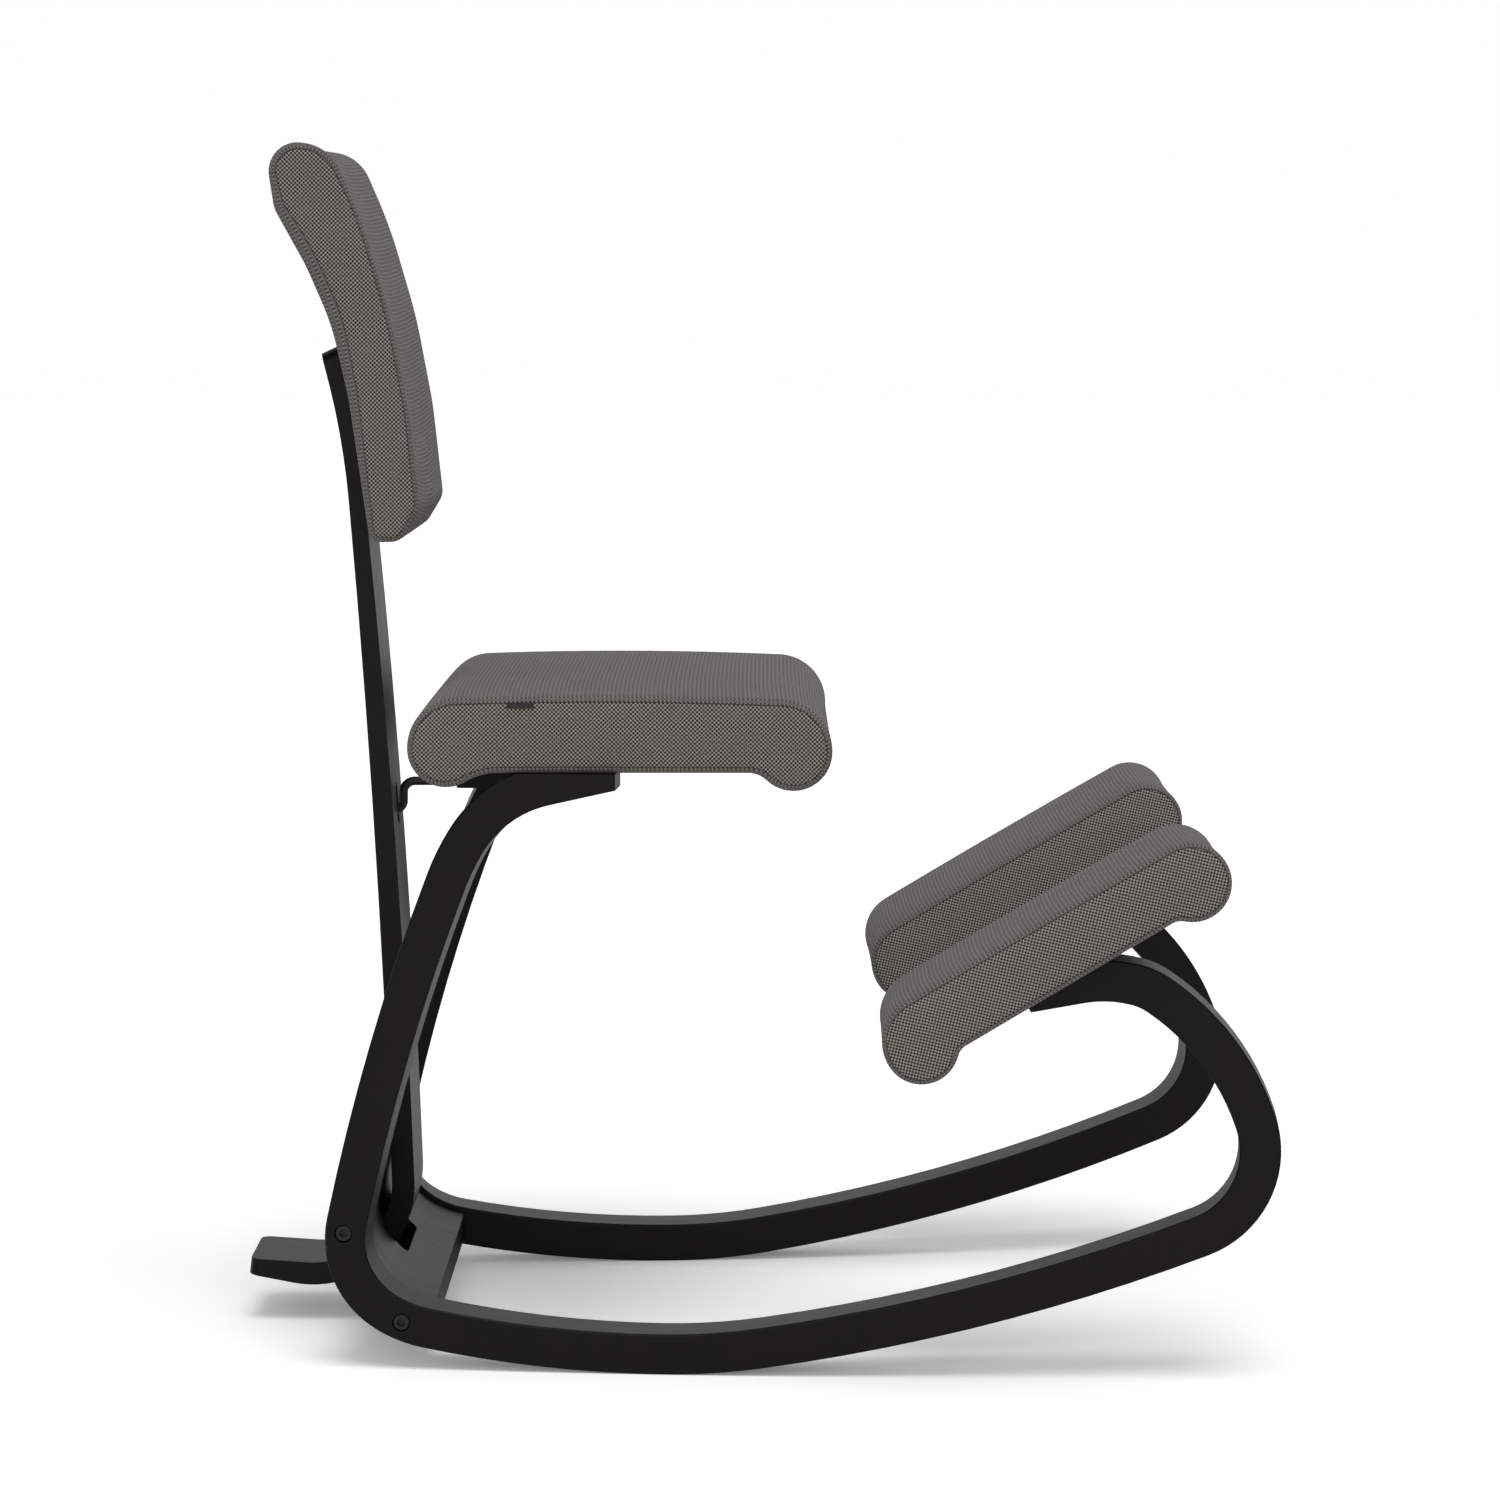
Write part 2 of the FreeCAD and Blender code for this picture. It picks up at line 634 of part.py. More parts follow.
# knee cushions in their own frame
knee_outer = cushion(knee_outline, knee_width / 2, knee_crown, 0.0)
knee_inner = cushion(knee_outline, knee_width / 2, knee_crown, cover_thick)
kb0 = cover_thick + 0.05
knee_board = rounded_box(72, 240, 14, knee_width - 14, kb0, kb0 + knee_board_thick, 12.0)
knee_screw_s = [140.0, 178.0]
knee_seat_n = [-9.5, -14.0]
knee_w = [-knee_origin[1] - runner_front_half_width + (runner_length - x) * math.tan(phi) + runner_width / 2
          for x in (550.0, 583.0)]
print("knee screw width places", knee_w)
knee_screws_l = []
knee_nuts_l = []
knee_cover_l = knee_outer.cut(knee_inner)
for s0, ns, kw in zip(knee_screw_s, knee_seat_n, knee_w):
    top = kb0 + knee_board_thick
    knee_screws_l.append(cap_screw(s0, kw, ns, top - ns + 1.0))
    knee_nuts_l.append(t_nut(s0, kw, top, knee_board_thick))
    knee_board = knee_board.cut(cyl(4.65, 40, V(s0, kw, -5), V(0, 0, 1)))
    knee_cover_l = knee_cover_l.cut(cyl(3.3, 8, V(s0, kw, -4), V(0, 0, 1)))
    bore = to_runner(knee_place(cyl(3.3, 60, V(s0, kw, ns - 1), V(0, 0, 1))))
    sink = to_runner(knee_place(cyl(6.2, 28, V(s0, kw, ns - 28), V(0, 0, 1))))
    runner_local = runner_local.cut(bore).cut(sink)
knee_foam_l = knee_inner.copy()
knee_foam_l = knee_foam_l.cut(rounded_box(71.9, 240.1, 13.9, knee_width - 13.9, -4, kb0 + knee_board_thick + 0.05, 12.0))
for s0, ns, kw in zip(knee_screw_s, knee_seat_n, knee_w):
    knee_foam_l = knee_foam_l.cut(cyl(9.7, 3.0, V(s0, kw, kb0 + knee_board_thick - 0.5), V(0, 0, 1)))
knee_foam_l = sorted(knee_foam_l.Solids, key=lambda s: -s.Volume)[0]

# seat cover, foam, holes
seat_cover = seat_outer.cut(seat_inner)
seat_foam = seat_inner.copy()
grown = seat_board.copy()
grown = grown.fuse(rounded_box(149.9, 318.1, -board_mid - 0.1, board_mid + 0.1, board_z0 - 4, board_z0 + seat_board_thick + 0.05, 18.0))
grown = grown.fuse(rounded_box(98.9, 220, -60.1, 60.1, board_z0 - 4, board_z0 + seat_board_thick + 0.05, 14.0))
grown = grown.fuse(rounded_box(127.9, 226.1, -board_wide - 0.1, board_wide + 0.1, board_z0 - 4, board_z0 + seat_board_thick + 0.05, 12.0))
seat_foam = seat_foam.cut(grown)
for x, y, zs in seat_holes:
    for sy in (1, -1):
        seat_board = seat_board.cut(cyl(4.65, 40, V(x, sy * y, board_z0 - 5), V(0, 0, 1)))
        seat_cover = seat_cover.cut(cyl(3.3, 8, V(x, sy * y, seat_under_z - 4), V(0, 0, 1)))
        seat_foam = seat_foam.cut(cyl(9.7, 3.0, V(x, sy * y, board_z0 + seat_board_thick - 0.5), V(0, 0, 1)))
for x, y in block_screw_pts:
    seat_board = seat_board.cut(cyl(3.05, 12.0, V(x, y, board_z0 - 1), V(0, 0, 1)))
    seat_cover = seat_cover.cut(cyl(3.3, 22, V(x, y, seat_under_z - 18), V(0, 0, 1)))
    seat_foam = seat_foam.cut(cyl(3.3, 20, V(x, y, seat_under_z - 18), V(0, 0, 1)))
seat_foam = sorted(seat_foam.Solids, key=lambda s: -s.Volume)[0]
tab = tab.cut(seat_outer)
tab = sorted(tab.Solids, key=lambda s: -s.Volume)[0]

# backrest stem
bx, bz = bend_centre


def up_arc(p, lean, r, turn):
    """arc going up from p, leaning back by lean degrees and turning back by turn degrees"""
    h = math.radians(90 + lean)
    t = math.radians(turn)
    cx = p.x - r * math.sin(h)
    cz = p.z + r * math.cos(h)
    pts = []
    for k in (0.0, 0.5, 1.0):
        g = h + t * k
        pts.append(V(cx + r * math.sin(g), 0, cz - r * math.cos(g)))
    return pts


rear_lean = 1.6
front_lean = 1.84
ra = math.radians(rear_lean)
fa = math.radians(front_lean)
r0 = V(bx + bend_inner_r * math.cos(ra), 0, bz + bend_inner_r * math.sin(ra))
f0 = V(bx + bend_outer_r * math.cos(fa), 0, bz + bend_outer_r * math.sin(fa))
rear_a = up_arc(r0, rear_lean, stem_rear_r, 3.1)
front_a = up_arc(f0, front_lean, stem_front_r, 3.6)
rear_b = up_arc(rear_a[2], rear_lean + 3.1, 600.0, stem_top_turn)
front_b = [front_a[2], V(20.0, 0, 700.0), V(stem_top[0], 0, stem_top[1])]
ta = math.radians(3.9)
to = math.radians(11.0)
ri = V(bx - bend_inner_r * math.sin(ta), 0, bz - bend_inner_r * math.cos(ta))
fo = V(bx - bend_outer_r * math.sin(to), 0, bz - bend_outer_r * math.cos(to))
rim_mid_i = math.radians((rear_lean - 93.9) / 2)
rim_mid_o = math.radians((front_lean - 101.0) / 2)
mi = V(bx + bend_inner_r * math.cos(rim_mid_i), 0, bz + bend_inner_r * math.sin(rim_mid_i))
mo = V(bx + bend_outer_r * math.cos(rim_mid_o), 0, bz + bend_outer_r * math.sin(rim_mid_o))
ti = V(tail_end_x, 0, ri.z - (tail_end_x - ri.x) * math.tan(ta))
tf = V(tail_end_x - 1.5, 0, fo.z - (tail_end_x - 1.5 - fo.x) * math.tan(to))
stem_wire = Part.Wire([
    arc(ri, mi, r0), arc(rear_a[0], rear_a[1], rear_a[2]), arc(rear_b[0], rear_b[1], rear_b[2]),
    Part.makeLine(rear_b[2], front_b[2]), arc(front_b[2], front_b[1], front_b[0]),
    arc(front_a[2], front_a[1], front_a[0]), arc(f0, mo, fo), Part.makeLine(fo, tf),
    Part.makeLine(tf, ti), Part.makeLine(ti, ri)])
print("stem top", rear_b[2], front_b[2], "tail", ti, tf)
stem = slab(stem_wire, -stem_half_w, stem_half_w)
stem = stem.cut(slab(back_outline(0.0, -0.1, 0.0, 0.0), -stem_half_w - 1, stem_half_w + 1))
narrow_a = Part.makePolygon([V(-100, -tail_half_w - 5, 0), V(-100, -tail_half_w, 0), V(10, -tail_half_w, 0),
                             V(50, -stem_half_w, 0), V(50, -tail_half_w - 5, 0), V(-100, -tail_half_w - 5, 0)])
narrow = Part.Face(narrow_a).extrude(V(0, 0, 80))
stem = stem.cut(narrow).cut(mirror_y(narrow))


def edges_where(shape, test):
    return [e for e in shape.Edges if test(e)]


tail_up = edges_where(stem, lambda e: abs(e.BoundBox.YLength) < 0.01 and e.BoundBox.XMax < tail_end_x + 2
                      and e.BoundBox.ZLength > 5)
if tail_up:
    stem = stem.makeFillet(9.0, tail_up)
top_up = edges_where(stem, lambda e: e.BoundBox.YLength < 0.01 and e.BoundBox.ZMin > 760
                     and e.BoundBox.XLength > 5)
if top_up:
    stem = stem.makeFillet(10.0, top_up)
top_along = edges_where(stem, lambda e: e.BoundBox.YLength > 60 and e.BoundBox.ZMin > 760
                        and e.BoundBox.ZLength < 0.5 and e.BoundBox.XMax < 0)
try:
    trial = stem.makeFillet(4.0, top_along)
    if trial.isValid():
        stem = trial
except Exception as problem:
    print("stem top rounding", problem)

hz0, hz1 = hook_slot_z
hslot = box(0, 70, -hook_slot_half_w, hook_slot_half_w, hz0 + hook_slot_half_w, hz1 - hook_slot_half_w)
hslot = hslot.fuse(cyl(hook_slot_half_w, 70, V(0, 0, hz0 + hook_slot_half_w), V(1, 0, 0)))
hslot = hslot.fuse(cyl(hook_slot_half_w, 70, V(0, 0, hz1 - hook_slot_half_w), V(1, 0, 0)))
stem = stem.cut(hslot.removeSplitter())

# backrest cushion
back_outer = cushion(back_outline, back_half_w, back_crown, 0.0, back_rim)
back_inner = cushion(back_outline, back_half_w, back_crown, cover_thick, back_rim)
back_clear = 0.3
stem_big = slab(stem_wire, -stem_half_w, stem_half_w)


def back_board_shape(grow):
    """curved board just inside the rear face of the cushion"""
    off0 = cover_thick + 0.3 - grow
    off1 = cover_thick + 0.3 + back_board_thick + grow
    reach = back_board_half_w + grow
    ys = [reach * k for k in (-1.0, -0.75, -0.5, -0.25, 0.0, 0.25, 0.5, 0.75, 1.0)]
    band = Part.makeLoft([back_outline(y, off0, 0.0, 0.0) for y in ys], True, True)
    hole = Part.makeLoft([back_outline(y, off1, 0.0, 0.0) for y in ys], True, True)
    ringy = band.cut(hole)
    keep = Part.makePolygon([V(-5, -200, 650 - grow), V(47, -200, 650 - grow), V(38, -200, 742), V(21, -200, 812),
                             V(-6, -200, 868 + grow), V(-70, -200, 868 + grow), V(-70, -200, 800),
                             V(-5, -200, 650 - grow)])
    keep = Part.Face(keep).extrude(V(0, 400, 0))
    piece = ringy.common(keep)
    return sorted(piece.Solids, key=lambda s: -s.Volume)[0]


back_board = back_board_shape(0.0)
back_void = back_board_shape(0.05)
back_foam = back_inner.cut(back_void)
back_cover = back_outer.cut(back_inner)

back_screw_z = [672.0, 735.0]
back_screws = []
back_nuts = []


def stem_rear_at(z):
    line = Part.makeLine(V(-60, 0, z), V(120, 0, z))
    cutl = stem_big.common(line)
    xs = [v.X for v in cutl.Vertexes]
    return min(xs), max(xs)


for z in back_screw_z:
    xa, xb = stem_rear_at(z)
    xm, xn = stem_rear_at(z + 5.0)
    lean = math.atan2(xa - xm, 5.0)
    ax = V(math.cos(lean), 0, math.sin(lean))
    for y in (-24.0, 24.0):
        base = V(xa, y, z) - ax * 0.2
        head = cyl(5.2, 3.0, base + ax * 0.4, ax)
        shank = cyl(3.0, 24.0, base + ax * 3.4, ax)
        slotc = cyl(1.8, 1.6, base + ax * 0.3, ax)
        back_screws.append(head.fuse(shank).cut(slotc).removeSplitter())
        stem = stem.cut(cyl(5.6, 3.7, base - ax * 0.3, ax)).cut(cyl(3.3, 40, base, ax))
        back_cover = back_cover.cut(cyl(3.3, 12, base + ax * 12.0, ax))
        back_board = back_board.cut(cyl(4.65, 30, base + ax * 10.0, ax))
        back_foam = back_foam.cut(cyl(6.2, 17, base + ax * 14, ax)).cut(cyl(3.3, 30, base + ax * 10, ax))
        nut = cyl(4.55, 8.0, base + ax * 18.2, ax).cut(cyl(3.05, 12, base + ax * 17, ax))
        back_nuts.append(nut)

# a shallow channel in the cross board leaves the stem room to lean back
for lean_deg in (0.0, -0.8, -1.6, -2.3):
    swing = slab(stem_wire, -stem_half_w - 0.8, stem_half_w + 0.8)
    swing.rotate(V(slot_x, 0, slot_z), V(0, 1, 0), lean_deg)
    for push in (-0.5, 0.0):
        moved = swing.copy()
        moved.translate(V(push, 0, 0))
        board_world = board_world.cut(moved)

# the cushion rests on the stem: keep a small gap between them
overlap = back_outer.common(stem)
print("stem and cushion share", overlap.Volume if overlap.Solids else 0.0)

pieces = {}
pieces["runner_right"] = to_right(runner_local)
pieces["runner_left"] = mirror_y(pieces["runner_right"])
pieces["cross_board"] = board_world
pieces["cross_board_bolts"] = Part.makeCompound(bolts_right + [mirror_y(s) for s in bolts_right])
pieces["cross_board_nuts"] = Part.makeCompound(nut_shapes + [mirror_y(s) for s in nut_shapes])
pieces["seat_board"] = seat_board
pieces["seat_foam"] = seat_foam
pieces["seat_cover"] = seat_cover
pieces["seat_nuts"] = Part.makeCompound(seat_nuts + [mirror_y(s) for s in seat_nuts])
pieces["seat_screws"] = Part.makeCompound(seat_screws + [mirror_y(s) for s in seat_screws])
pieces["seam_tab"] = tab
for side, flip in (("right", False), ("left", True)):
    for name, shape in (("knee_board", knee_board), ("knee_foam", knee_foam_l), ("knee_cover", knee_cover_l)):
        s = knee_place(shape)
        pieces[name + "_" + side] = mirror_y(s) if flip else s
kn = [knee_place(s) for s in knee_nuts_l]
ks = [knee_place(s) for s in knee_screws_l]
pieces["knee_nuts"] = Part.makeCompound(kn + [mirror_y(s) for s in kn])
pieces["knee_screws"] = Part.makeCompound(ks + [mirror_y(s) for s in ks])
pieces["hook_rod"] = rod
pieces["hook_block"] = block
pieces["hook_screws"] = Part.makeCompound(hook_screws)
pieces["backrest_stem"] = stem
pieces["backrest_board"] = back_board
pieces["backrest_foam"] = sorted(back_foam.Solids, key=lambda s: -s.Volume)[0]
pieces["backrest_cover"] = back_cover
pieces["backrest_nuts"] = Part.makeCompound(back_nuts)
pieces["backrest_screws"] = Part.makeCompound(back_screws)

whole = Part.makeCompound([s for s in pieces.values()])
bb = whole.optimalBoundingBox(True) if hasattr(whole, "optimalBoundingBox") else whole.BoundBox
shift = V(-0.5 * (bb.XMin + bb.XMax), 0, -bb.ZMin)
print("box", bb)
print("shift", shift)
for name in sorted(pieces):
    s = pieces[name].copy()
    s.translate(shift)
    ok = s.isValid()
    print("%-20s valid %s solids %d volume %.0f" % (name, ok, len(s.Solids), s.Volume))
    s.exportStep("parts/" + name + ".step")
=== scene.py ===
import math
import bmesh
import bpy
import numpy as np
from mathutils import Matrix, Vector


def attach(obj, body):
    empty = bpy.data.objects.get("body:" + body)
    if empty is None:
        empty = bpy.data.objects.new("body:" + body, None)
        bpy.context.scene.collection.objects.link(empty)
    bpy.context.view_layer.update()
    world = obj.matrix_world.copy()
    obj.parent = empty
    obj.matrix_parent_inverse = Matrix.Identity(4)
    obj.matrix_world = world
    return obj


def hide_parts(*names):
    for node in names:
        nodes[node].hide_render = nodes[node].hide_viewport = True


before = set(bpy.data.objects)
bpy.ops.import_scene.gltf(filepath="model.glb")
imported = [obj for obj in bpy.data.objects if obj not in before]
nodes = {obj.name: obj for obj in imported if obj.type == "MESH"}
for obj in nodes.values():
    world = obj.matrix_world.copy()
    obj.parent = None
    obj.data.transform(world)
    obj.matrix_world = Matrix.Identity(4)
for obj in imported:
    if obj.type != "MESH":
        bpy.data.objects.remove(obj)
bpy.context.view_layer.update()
scene = bpy.context.scene
scene.view_settings.view_transform = "Standard"

MM = 0.001
SHIFT_X = -323.45037886558646  # mm, from the outlines' own frame to the part's frame

# camera: focal length and picture width in pixels, place in metres, angles in degrees
LENS_PX = 4600.0
PICTURE_PX = 1500.0
SENSOR_MM = 36.0
CAMERA_AT = (0.01155, -3.6445, 0.8194)
CAMERA_DOWN = 5.7405
CAMERA_TURN = 0.1925
CAMERA_CLIP = 100

# floor: how it reflects light on, how much lighter the camera sees it, and its own glow for the camera
FLOOR_REACH = 30
FLOOR_SHADE = 0.8
FLOOR_SEEN_GAIN = 0.25
FLOOR_GLOW = 0.15

# world: light from all round, and what glossy faces mirror on the camera's side and on the far side
DOME = 0.46
GLOSS_NEAR = 0.085
GLOSS_FAR = 0.78
GLOSS_TURN = (-0.4, 0.5)

# cushions: lengths in mm, shares and counts
OUTLINE_STEP = 2.0
SEAM_WIDTH = 0.8
SEAM_DEPTH = 0.9
SEAM_FLANKS = (0.35, 0.65)
SEAM_LIP = (0.1, 0.98)
WRAP_SHARES = (0, 0.12, 0.25, 0.38, 0.5, 0.62, 0.73, 0.82, 0.89)
WRAP_CLEAR = 3
EDGE_LEAD = 1.5
EDGE_LIFT = 0.22
EDGE_STEPS = 7
CROWN_DRAW = 1.5
SIDE_ROWS = ((0.0, 0.2), (0.9, 0.65), (2.2, 1.0))
SIDE_BASE = 0.5
SIDE_DOME = 1.0
SAMPLE_EVERY = 7

SEAT_HALF_WIDTH = 215.0
KNEE_HALF_WIDTH = 76.0
BACK_HALF_WIDTH = 132.0
BACK_WRAP = 8.0
KNEE_AT = (430.0, -291.0, 230.7)
KNEE_SLOPE = -31.0
KNEE_TILT = -1.6

# the CAD outlines' values, but for the knee's front shoulder, which is 2.2 mm lower;
# pairs are for the rear and the front lobe
SEAT = {"under": 456.8, "ends": (65.7, 385.7), "lobe_z": (475.0, 472.5), "lobe_r": (29.0, 29.3),
        "shoulder": (38.0, 39.5), "bulge": 2.4, "hollow": (50.0, 20.0)}
KNEE = {"under": 0.0, "ends": (5.0, 296.0), "lobe_z": (16.1, 18.2), "lobe_r": (28.0, 29.0),
        "shoulder": (51.0 - 16.1, 48.8 - 18.2), "bulge": 0.8, "hollow": (12.0, 12.0)}
# the backrest's corner points (x, z, radius) as in the CAD, but for the second, 3.2 mm further forward;
# the front ones swell with the crown, and the bottom front ones don't wrap
BACK = ((33.2, 625.6, 9.0), (56.0, 625.6, 14.0), (70.7, 650.7, 16.0), (63.2, 724.6, 300.0),
        (50.0, 796.0, 400.0), (29.0, 869.3, 400.0), (5.0, 925.8, 34.0), (-45.9, 933.2, 22.0),
        (-37.8, 879.3, 26.0), (-14.0, 836.1, 120.0), (5.1, 791.9, 200.0), (17.9, 734.6, 260.0))
BACK_FRONT = (2, 3, 4, 5)
BACK_BOTTOM_FRONT = (1, 2)

# the backrest's rim in mm: heights with the x of the line behind which it is wider,
# and heights with the share of the extra width there and at the top
REAR_LINE = ((640, 735, 792, 836, 880, 905), (44, 40, 28, 10, -10, -20))
REAR_SHARE = ((640, 720, 800, 860, 890, 905), (0.1, 0.5, 1.0, 1.0, 0.5, 0.1))
TOP_SHARE = ((885, 915), (0, 1))
RIM_PLAIN = 2.8
RIM_REAR = 6.2
RIM_TOP = 1.6
RIM_BLEND = 3.0
RIM_SMOOTHINGS = 6

# weave: period and wander in metres, colours in linear light
WEAVE_PERIOD = 0.0032
WEAVE_WANDER = 0.0009
WEAVE_BUMP = 0.5
YARN_UNEVEN = 0.30
CLOTH_UNEVEN = 0.10
SEAM_SHADE = 0.50
# painted shade: the dark colour that the seam's rows are mixed towards
SEAM_SHADE_COLOUR = (0.02, 0.018, 0.016, 1)
SIDE_YARNS = ((0.266, 0.248, 0.222), (0.008, 0.007, 0.006))
# the wrap is the same cloth as the side panels, but its yarns are set darker: painted shade that offsets the
# stronger light on the cushions' tops
SHADED_WRAP_YARNS = ((0.188, 0.176, 0.163), (0.044, 0.041, 0.037))


def arc_points(a, m, b):
    """points on the arc through a, m and b (x, z in mm), without the last one"""
    ax, az = a
    mx, mz = m
    bx, bz = b
    d = 2 * (ax * (mz - bz) + mx * (bz - az) + bx * (az - mz))
    if abs(d) < 1e-9:
        return line_points(a, b)
    sa, sm, sb = ax * ax + az * az, mx * mx + mz * mz, bx * bx + bz * bz
    ox = (sa * (mz - bz) + sm * (bz - az) + sb * (az - mz)) / d
    oz = (sa * (bx - mx) + sm * (ax - bx) + sb * (mx - ax)) / d
    r = math.hypot(ax - ox, az - oz)
    start = math.atan2(az - oz, ax - ox)
    turn = (math.atan2(bz - oz, bx - ox) - start) % (2 * math.pi)
    part = (math.atan2(mz - oz, mx - ox) - start) % (2 * math.pi)
    if part > turn:
        turn -= 2 * math.pi
    n = max(3, int(abs(turn) * r / OUTLINE_STEP))
    return [(ox + r * math.cos(start + turn * k / n), oz + r * math.sin(start + turn * k / n))
            for k in range(n)]


def line_points(a, b):
    """points on the line from a to b, without the last one"""
    n = max(1, int(math.dist(a, b) / OUTLINE_STEP))
    return [(a[0] + (b[0] - a[0]) * k / n, a[1] + (b[1] - a[1]) * k / n) for k in range(n)]


def even_loop(points, count):
    """closed loop resampled to count points at equal spacing, and its length"""
    p = np.array(points + [points[0]], float)
    seg = np.hypot(*np.diff(p, axis=0).T)
    s = np.concatenate([[0], np.cumsum(seg)])
    t = np.linspace(0, s[-1], count, endpoint=False)
    return np.stack([np.interp(t, s, p[:, 0]), np.interp(t, s, p[:, 1])], 1), s[-1]


def offset_loop(loop, d):
    """loop moved inwards by d; loops run with the inside on the left"""
    t = np.roll(loop, -1, 0) - np.roll(loop, 1, 0)
    t /= np.maximum(np.hypot(t[:, 0], t[:, 1]), 1e-9)[:, None]
    return loop + np.stack([-t[:, 1], t[:, 0]], 1) * d


def on_circle(cx, cz, r, a):
    return (cx + r * math.cos(a), cz + r * math.sin(a))


def bean(spec, lift, draw):
    """bone shaped outline (x, z) in mm, with its top lifted and its ends drawn in"""
    under, bulge = spec["under"], spec["bulge"]
    xr, xf = spec["ends"][0] + draw, spec["ends"][1] - draw
    z1, z2 = spec["lobe_z"]
    r1, r2 = spec["lobe_r"]
    t1, t2 = spec["shoulder"]
    h1, h2 = spec["hollow"]
    c1, c2 = xr + r1, xf - r2
    f1 = c1 + math.sqrt((r1 + h1) ** 2 - (z1 - under + h1) ** 2)
    f2 = c2 - math.sqrt((r2 + h2) ** 2 - (z2 - under + h2) ** 2)
    a1 = math.atan2(z1 - (under - h1), c1 - f1)
    a2 = math.atan2(z2 - (under - h2), c2 - f2)
    # underside, with a hollow curve into each lobe
    p0, p1 = (f1, under), (f2, under)
    q2, w2 = (on_circle(f2, under - h2, h2, a) for a in (a2, 0.5 * (a2 + math.pi / 2)))
    q1, w1 = (on_circle(f1, under - h1, h1, a) for a in (a1, 0.5 * (a1 + math.pi / 2)))
    # lobes
    b2 = a2 + math.pi
    if b2 > math.pi:
        b2 -= 2 * math.pi
    x2, v2 = (xf, z2), on_circle(c2, z2, r2, 0.5 * b2)
    x1, v1 = (xr, z1), on_circle(c1, z1, r1, 0.5 * (a1 + math.pi + math.pi))
    # shoulders and top
    k2, k1 = xf - t2, xr + t1
    top2, top1 = (k2, z2 + t2 + lift), (k1, z1 + t1 + lift)
    diagonal = math.sqrt(0.5)
    tm2 = (k2 + t2 * diagonal, z2 + (t2 + lift) * diagonal)
    tm1 = (k1 - t1 * diagonal, z1 + (t1 + lift) * diagonal)
    tmid = (0.5 * (k1 + k2), 0.5 * (top1[1] + top2[1]) + bulge)
    points = line_points(p0, p1)
    for a, m, b in ((p1, w2, q2), (q2, v2, x2), (x2, tm2, top2), (top2, tmid, top1),
                    (top1, tm1, x1), (x1, v1, q1), (q1, w1, p0)):
        points += arc_points(a, m, b)
    return points


def rounded(points):
    """closed outline through corner points (x, z, radius)"""
    n = len(points)
    arcs = []
    for i in range(n):
        a, b, c = points[i - 1], points[i], points[(i + 1) % n]
        u = Vector((a[0] - b[0], a[1] - b[1])).normalized()
        v = Vector((c[0] - b[0], c[1] - b[1])).normalized()
        angle = math.acos(max(-1, min(1, u.dot(v))))
        t = b[2] / math.tan(angle / 2)
        w = (u + v).normalized()
        far = b[2] / math.sin(angle / 2) - b[2]
        arcs.append(((b[0] + u.x * t, b[1] + u.y * t), (b[0] + w.x * far, b[1] + w.y * far),
                     (b[0] + v.x * t, b[1] + v.y * t)))
    out = []
    for i in range(n):
        s, m, e = arcs[i]
        out += arc_points(s, m, e)
        out += line_points(e, arcs[(i + 1) % n][0])
    return out


def seat_line(y, lift, draw):
    return bean(SEAT, lift, draw)


def knee_line(y, lift, draw):
    return bean(KNEE, lift, draw)


def back_line(y, lift, draw):
    """the backrest's middle lies back, so that its sides come forward"""
    wrap = BACK_WRAP * (1.0 - (y / BACK_HALF_WIDTH) ** 2)
    return rounded([(x + (lift if i in BACK_FRONT else 0.0) - wrap * (0.0 if i in BACK_BOTTOM_FRONT else 1.0),
                     z, r) for i, (x, z, r) in enumerate(BACK)])


def even_rim(width):
    return lambda edge: np.full(len(edge), width)


def back_rim(edge):
    """the backrest's wrap shows wider along its rear edge"""
    x, z = edge[:, 0], edge[:, 1]
    rear = 1 / (1 + np.exp((x - np.interp(z, *REAR_LINE)) / RIM_BLEND))
    rim = RIM_PLAIN + RIM_REAR * rear * np.interp(z, *REAR_SHARE) + RIM_TOP * np.interp(z, *TOP_SHARE)
    for _ in range(RIM_SMOOTHINGS):
        rim = (np.roll(rim, 1) + rim + np.roll(rim, -1)) / 3
    return rim


class Placer:
    """places outline points (x, z) at a width y, all in mm, in the part's frame in metres"""
    def __call__(self, x, y, z):
        return Vector(((x + SHIFT_X) * MM, y * MM, z * MM))

    def back(self, co):
        return co.x / MM - SHIFT_X, co.z / MM


class KneePlacer:
    """the same from the knee cushion's own frame: along the slope, across, and up from its underside"""
    def __init__(self, side):
        self.sign = 1.0 if side == "right" else -1.0
        self.m = (Matrix.Translation(Vector(KNEE_AT))
                  @ Matrix.Rotation(math.radians(KNEE_SLOPE), 4, "Y")
                  @ Matrix.Rotation(math.radians(KNEE_TILT), 4, "X"))

    def __call__(self, s, w, n):
        p = self.m @ Vector((s, w + KNEE_HALF_WIDTH, n))
        return Vector(((p.x + SHIFT_X) * MM, p.y * self.sign * MM, p.z * MM))

    def back(self, co):
        q = self.m.inverted() @ Vector((co.x / MM - SHIFT_X, co.y / MM * self.sign, co.z / MM))
        return q.x, q.z


